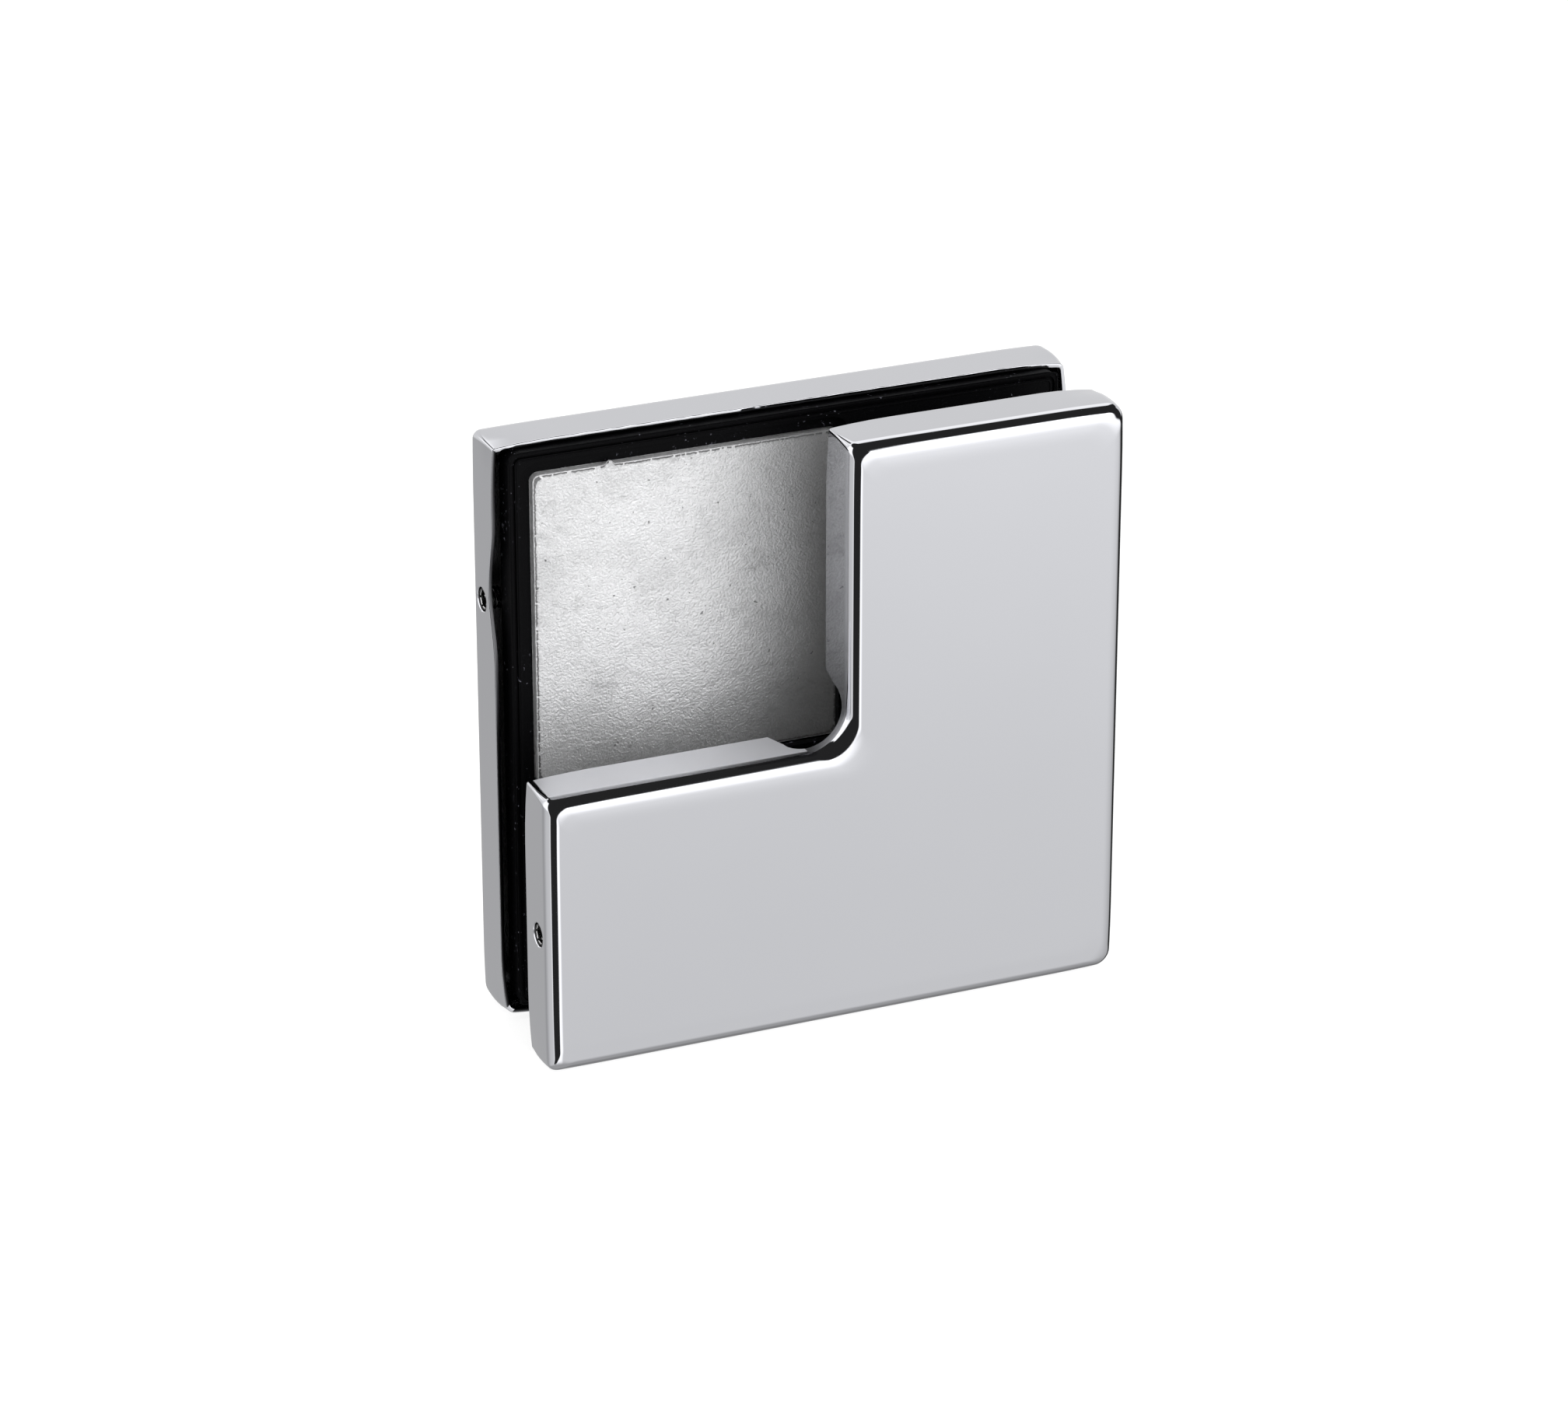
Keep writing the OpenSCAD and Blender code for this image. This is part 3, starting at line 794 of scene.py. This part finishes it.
def sealing_beads(sizes, material):
    """Two fine beads along the border of the rear gasket."""
    low, high = (Vector(corner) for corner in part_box("rear_gasket"))
    corners = ((low.x, low.z), (high.x, low.z), (high.x, high.z), (low.x, high.z))
    outline = Outline(corners, {}, reach=0.003, start=0.005)
    form = bmesh.new()
    for inset in (0.00035, 0.00155):
        skin = RingSkin(form, 1, closed=False)
        for step in range(7):
            turn = radians(180) * step / 6
            points = outline.ring(inset - sizes.bead * cos(turn), 0.0008, 0.001)
            rough = [1 + 0.5 * noise.noise(Vector((point.x, point.y, inset)) * 1500) for point in points]
            skin.draw(points, [low.y + 0.00002 - sizes.bead * sin(turn) * share for share in rough])
    finished("sealing_beads", form, material)


def land_edge(sizes, material):
    """Ragged edge around the bare door land, with a small flash on its upper side and a dark line of painted
    shade along it.
    """
    low, high = land_box()
    corners = ((low.x, low.z), (high.x, low.z), (high.x, high.z), (low.x, high.z))
    outline = Outline(corners, {}, step=0.0003, reach=0.0015, start=0.0024)
    flash, flash_height, flash_width = low.x + 0.014, 0.0008, 0.0007
    form = bmesh.new()
    skin = RingSkin(form, 1, closed=False)
    base = outline.ring(0, 0.0012, 0.001)
    # rings of the edge: inset, depth, raggedness, corner radius and painted shade
    for inset, depth, ragged, round_, painted_shade in (
            (0.0, 0.0013, 0.3, 0.0012, 0.0), (0.0, 0.0005, 0.7, 0.0012, 0.0),
            (0.0, 0.0001, 1.0, 0.0012, 0.0), (0.0001, 0.0, 1.0, 0.0011, 0.1),
            (0.00018, -0.00001, 0.6, 0.0012, 0.9), (0.0004, -0.00002, 1.4, 0.002, 0.9),
            (0.00048, -0.00002, 1.4, 0.002, 0.2), (0.0009, 0.00001, 0.0, 0.002, 0.0)):
        points = outline.ring(inset, round_, 0.001)
        placed = []
        for point, start in zip(points, base):
            wave = (noise.noise(Vector((start.x, start.y, 0)) * 2600)
                    + 0.6 * noise.noise(Vector((start.y, start.x, 0)) * 900))
            push = sizes.burr * ragged * wave
            away = Vector((point.x - (low.x + high.x) / 2, point.y - (low.z + high.z) / 2))
            out = Vector((0, away.y / abs(away.y)))
            if abs(away.x) > abs(away.y):
                out = Vector((away.x / abs(away.x), 0))
            if out.y > 0 and depth < 0.001:
                push += flash_height * hump(start.x - flash, flash_width) * ragged
            placed.append(point + out * push)
        skin.draw(placed, [
            low.y + depth + sizes.burr * 0.4 * ragged * noise.noise(Vector((start.x, start.y, 0.3)) * 2100)
            for start in base], painted_shade)
    finished("land_edge", form, material)


def land_box():
    """Low and high corners of the door land: the foremost flat of the rear casting."""
    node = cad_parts["rear_clamp"]
    front = min(vert.co.y for vert in node.data.vertices)
    flat = [vert.co for vert in node.data.vertices if vert.co.y < front + 0.00001]
    low = Vector((min(co.x for co in flat), front, min(co.z for co in flat)))
    high = Vector((max(co.x for co in flat), front, max(co.z for co in flat)))
    return low, high


class CONNECTOR_OT_press_covers(bpy.types.Operator):
    """Press and polish both covers"""
    bl_idname = "connector.press_covers"
    bl_label = "Press covers"

    def execute(self, context):
        scene = context.scene
        material = polished_steel(scene.connector_colours.steel)
        dress(("front_cover", "rear_cover"), material)
        front_cover(scene.connector_sizes, material)
        rear_cover(scene.connector_sizes, material)
        return {"FINISHED"}


class CONNECTOR_OT_finish_castings(bpy.types.Operator):
    """Give both castings their as-cast skin"""
    bl_idname = "connector.finish_castings"
    bl_label = "Finish castings"

    def execute(self, context):
        material = cast_aluminium(context.scene.connector_colours.casting)
        dress(("front_clamp", "rear_clamp"), material)
        land_edge(context.scene.connector_sizes, material)
        return {"FINISHED"}


class CONNECTOR_OT_finish_gaskets(bpy.types.Operator):
    """Give both gaskets their rubber skin"""
    bl_idname = "connector.finish_gaskets"
    bl_label = "Finish gaskets"

    def execute(self, context):
        material = black_rubber(context.scene.connector_colours.rubber)
        dress(("front_gasket", "rear_gasket"), material)
        sealing_beads(context.scene.connector_sizes, material)
        return {"FINISHED"}


class CONNECTOR_OT_finish_fasteners(bpy.types.Operator):
    """Finish bolts, washers, bushes and screws"""
    bl_idname = "connector.finish_fasteners"
    bl_label = "Finish fasteners"

    def execute(self, context):
        colours = context.scene.connector_colours
        dress(("clamp_bolts", "bolt_washers"), zinc_plate(colours.zinc, "zinc_steel", 0.25))
        screw_steel = zinc_plate(colours.screws, "screw_steel", 0.1)
        dress(("cover_screws",), screw_steel)
        set_screws(context.scene.connector_sizes, screw_steel)
        dress(("glass_bush_left", "glass_bush_corner", "glass_bush_top"), white_nylon(colours.nylon))
        return {"FINISHED"}


def stage_piece(name, form, material):
    """Turns a form into an object for the stage, not attached to the body."""
    piece = new_piece(name, form, material)
    return piece


def white_rays(shader):
    """1 for the rays that see the plain white background: straight, mirrored or through glass."""
    camera, glossy, transmission = (
        shader.add("ShaderNodeLightPath", output=f"Is {kind} Ray")
        for kind in ("Camera", "Glossy", "Transmission"))
    return (camera + glossy + transmission).between(0, 1)


def studio_world(level):
    """Plain white background, and a plain level of light from all sides."""
    world = bpy.data.worlds.new("studio")
    bpy.context.scene.world = world
    world.use_nodes = True
    shader = Shader(world.node_tree)
    light = shader.add("ShaderNodeBackground", {}, {"Color": grey(level)})
    white = shader.add("ShaderNodeBackground", {}, {"Color": grey(1)})
    shader.add("ShaderNodeOutputWorld", {}, {
        "Surface": shader.add("ShaderNodeMixShader", {}, {0: white_rays(shader), 1: light, 2: white})})


def tent_material(light):
    """Cloth of the light tent: even light, and boxes, cards and flags by direction for mirrors."""
    material, shader = new_material("light_tent")
    direction = shader.add(
        "ShaderNodeVectorMath", {"operation": "NORMALIZE"},
        {0: shader.add("ShaderNodeTexCoord", output="Object")})
    across, deep, high = (
        shader.add("ShaderNodeSeparateXYZ", {}, {"Vector": direction}, output=axis) for axis in "XYZ")
    # degrees to the right of the front, and degrees above the floor
    turn = shader.add("ShaderNodeMath", {"operation": "ARCTAN2"}, {0: across, 1: 0.0 - deep}) * degrees(1)
    rise = shader.add("ShaderNodeMath", {"operation": "ARCSINE"}, {0: high}) * degrees(1)

    dark = 0.03

    def around(*levels):
        """A level that changes with the turn."""
        stops = [((angle + 180) / 360, level / 2) for angle, level in levels]
        return shader.add("ShaderNodeValToRGB", {"stops": stops}, {"Fac": (turn + 180) / 360}) * 2

    def blend(factor, first, second):
        """Goes from the first level to the second as the factor goes from 0 to 1."""
        return first + (second - first) * factor

    def window(value, start, end, soft):
        """1 between two angles, with soft ends."""
        return value.between(start - soft, start + soft) * (1 - value.between(end - soft, end + soft))

    # grey cards below the part, darker underneath
    low = around(
        (-180, 0.55), (-157, 0.60), (-133, 0.52), (-105, 0.88), (-76, 0.97), (-70, 1.9), (-12, 1.9),
        (-2, 1.0), (32, 1.0), (55, 0.86), (83, 0.7), (113, 0.52), (145, 0.38), (180, 0.55))
    under = around((-180, 0.43), (-90, 0.55), (60, 0.55), (120, 0.32), (180, 0.43))
    low = blend(1 - rise.between(-62, -40), low, under)
    # boxes and one small flag above it
    upper = around((-180, 1.0), (-140, 1.07), (-118, 1.9), (70, 1.9), (95, 1.0), (180, 1.0))
    upper = blend(window(rise, 30, 70, 4) * (1 - window(turn, -140, 110, 8)), upper, 1.6)
    upper = blend(window(turn, -177, -160, 3) * window(rise, 28, 46, 3), upper, dark)
    upper = blend(window(turn, -158, -142, 4) * window(rise, 10, 26, 4), upper, 1.7)
    front = window(turn, -5, 80, 8)
    level = blend(blend(front, rise.between(-16, -3), rise.between(-29, -3)), low, upper)
    # a bright box in front, then flags on the left, on the right, at the corner and overhead
    flag = turn.between(-73, -67) * (rise - 1.25 * turn).between(2, 8) * rise.between(-60, -45)
    level = blend(window(turn, 6, 60, 4) * window(rise, 10, 46, 4), level, 3.0)
    level = blend(flag, level, dark)
    level = blend(window(turn, 57, 128, 5) * (rise + 0.35 * turn).between(20, 27), level, dark)
    level = blend(window(turn, 38, 128, 3) * (rise + 1.2 * turn).between(86, 94), level, dark)
    level = blend((rise - 8 * deep).between(49, 55), level, dark)
    # dull surfaces get an even light
    even = light * (0.45 + 0.8 * turn.between(-90, 60)) * (0.5 + 1.1 * rise.between(-30, 50))
    level = blend(shader.add("ShaderNodeLightPath", output="Is Diffuse Ray"), level, even)
    glow = shader.add("ShaderNodeEmission", {}, {"Color": level})
    shader.add("ShaderNodeOutputMaterial", {}, {"Surface": glow})
    material.cycles.emission_sampling = "NONE"
    return material


def light_tent(radius, light):
    """Tent around the object, open to the white background below the front and at the back."""
    form = bmesh.new()
    bmesh.ops.create_uvsphere(form, u_segments=72, v_segments=36, radius=radius)

    def opened(face):
        place = face.calc_center_median().normalized()
        turn, rise = degrees(atan2(place.x, -place.y)), degrees(asin(place.z))
        return (5 < turn < 30 and -40 < rise < -30) or (100 < turn and -3 < rise < 26)

    gone = [face for face in form.faces if opened(face)]
    bmesh.ops.delete(form, geom=gone, context="FACES")
    tent = stage_piece("light_tent", form, tent_material(light))
    tent.visible_camera = False
    tent.visible_shadow = False


def studio_floor(width):
    """Pale floor that looks white and keeps a faint shadow."""
    form = bmesh.new()
    bmesh.ops.create_grid(form, x_segments=2, y_segments=2, size=width / 2)
    material, shader = new_material("floor")
    diffuse = shader.add("ShaderNodeBsdfDiffuse", {}, {"Color": grey(0.3)})
    glow = shader.add("ShaderNodeEmission", {}, {"Color": grey(0.85)})
    seen = shader.add("ShaderNodeAddShader", {}, {0: diffuse, 1: glow})
    plain = shader.add("ShaderNodeBsdfDiffuse", {}, {"Color": grey(0.8)})
    shader.add("ShaderNodeOutputMaterial", {}, {
        "Surface": shader.add("ShaderNodeMixShader", {}, {0: white_rays(shader), 1: plain, 2: seen})})
    floor = stage_piece("floor", form, material)
    floor.visible_glossy = False


def studio_camera(stage):
    """Camera at the photograph's angle."""
    low, high = (Vector(corner) for corner in CAD_BOUNDS)
    middle = Vector((0, 0, (low.z + high.z) / 2))
    turn, drop = stage.azimuth, stage.elevation
    ahead = Vector((sin(turn) * cos(drop), cos(turn) * cos(drop), -sin(drop)))
    right = Vector((cos(turn), -sin(turn), 0))
    up = right.cross(ahead)
    data = bpy.data.cameras.new("camera")
    data.lens = stage.lens
    data.sensor_width = 36.0
    data.sensor_fit = "HORIZONTAL"
    data.clip_start = 0.01
    camera = bpy.data.objects.new("camera", data)
    bpy.context.collection.objects.link(camera)
    place = middle - ahead * stage.distance + right * stage.slide + up * stage.lift
    camera.matrix_world = Matrix.Translation(place) @ Matrix((right, up, -ahead)).transposed().to_4x4()
    bpy.context.scene.camera = camera


class CONNECTOR_OT_set_stage(bpy.types.Operator):
    """Set up the world, the light tent, the floor and the camera"""
    bl_idname = "connector.set_stage"
    bl_label = "Set stage"

    def execute(self, context):
        stage = context.scene.connector_stage
        context.scene.view_settings.view_transform = "Standard"
        studio_world(stage.light)
        light_tent(stage.tent, stage.light)
        studio_floor(stage.floor)
        studio_camera(stage)
        return {"FINISHED"}


class CONNECTOR_PT_panel(bpy.types.Panel):
    """Lists the steps of the connector"""
    bl_idname = "CONNECTOR_PT_panel"
    bl_label = "Patch connector"
    bl_space_type = "VIEW_3D"
    bl_region_type = "UI"
    bl_category = "Connector"

    def draw(self, context):
        scene = context.scene
        for group in (scene.connector_colours, scene.connector_sizes, scene.connector_stage):
            for name in group.__annotations__:
                self.layout.prop(group, name)
        for step in STEPS:
            self.layout.operator(step.bl_idname)


STEPS = (
    CONNECTOR_OT_press_covers,
    CONNECTOR_OT_finish_castings,
    CONNECTOR_OT_finish_gaskets,
    CONNECTOR_OT_finish_fasteners,
    CONNECTOR_OT_set_stage,
)
CLASSES = (ConnectorColours, ConnectorSizes, ConnectorStage) + STEPS + (CONNECTOR_PT_panel,)


def register():
    for cls in CLASSES:
        bpy.utils.register_class(cls)
    bpy.types.Scene.connector_colours = PointerProperty(type=ConnectorColours)
    bpy.types.Scene.connector_sizes = PointerProperty(type=ConnectorSizes)
    bpy.types.Scene.connector_stage = PointerProperty(type=ConnectorStage)


def unregister():
    del bpy.types.Scene.connector_stage
    del bpy.types.Scene.connector_sizes
    del bpy.types.Scene.connector_colours
    for cls in reversed(CLASSES):
        bpy.utils.unregister_class(cls)


def main():
    register()
    bpy.ops.connector.press_covers()
    bpy.ops.connector.finish_castings()
    bpy.ops.connector.finish_gaskets()
    bpy.ops.connector.finish_fasteners()
    bpy.ops.connector.set_stage()


if __name__ == "__main__":
    main()
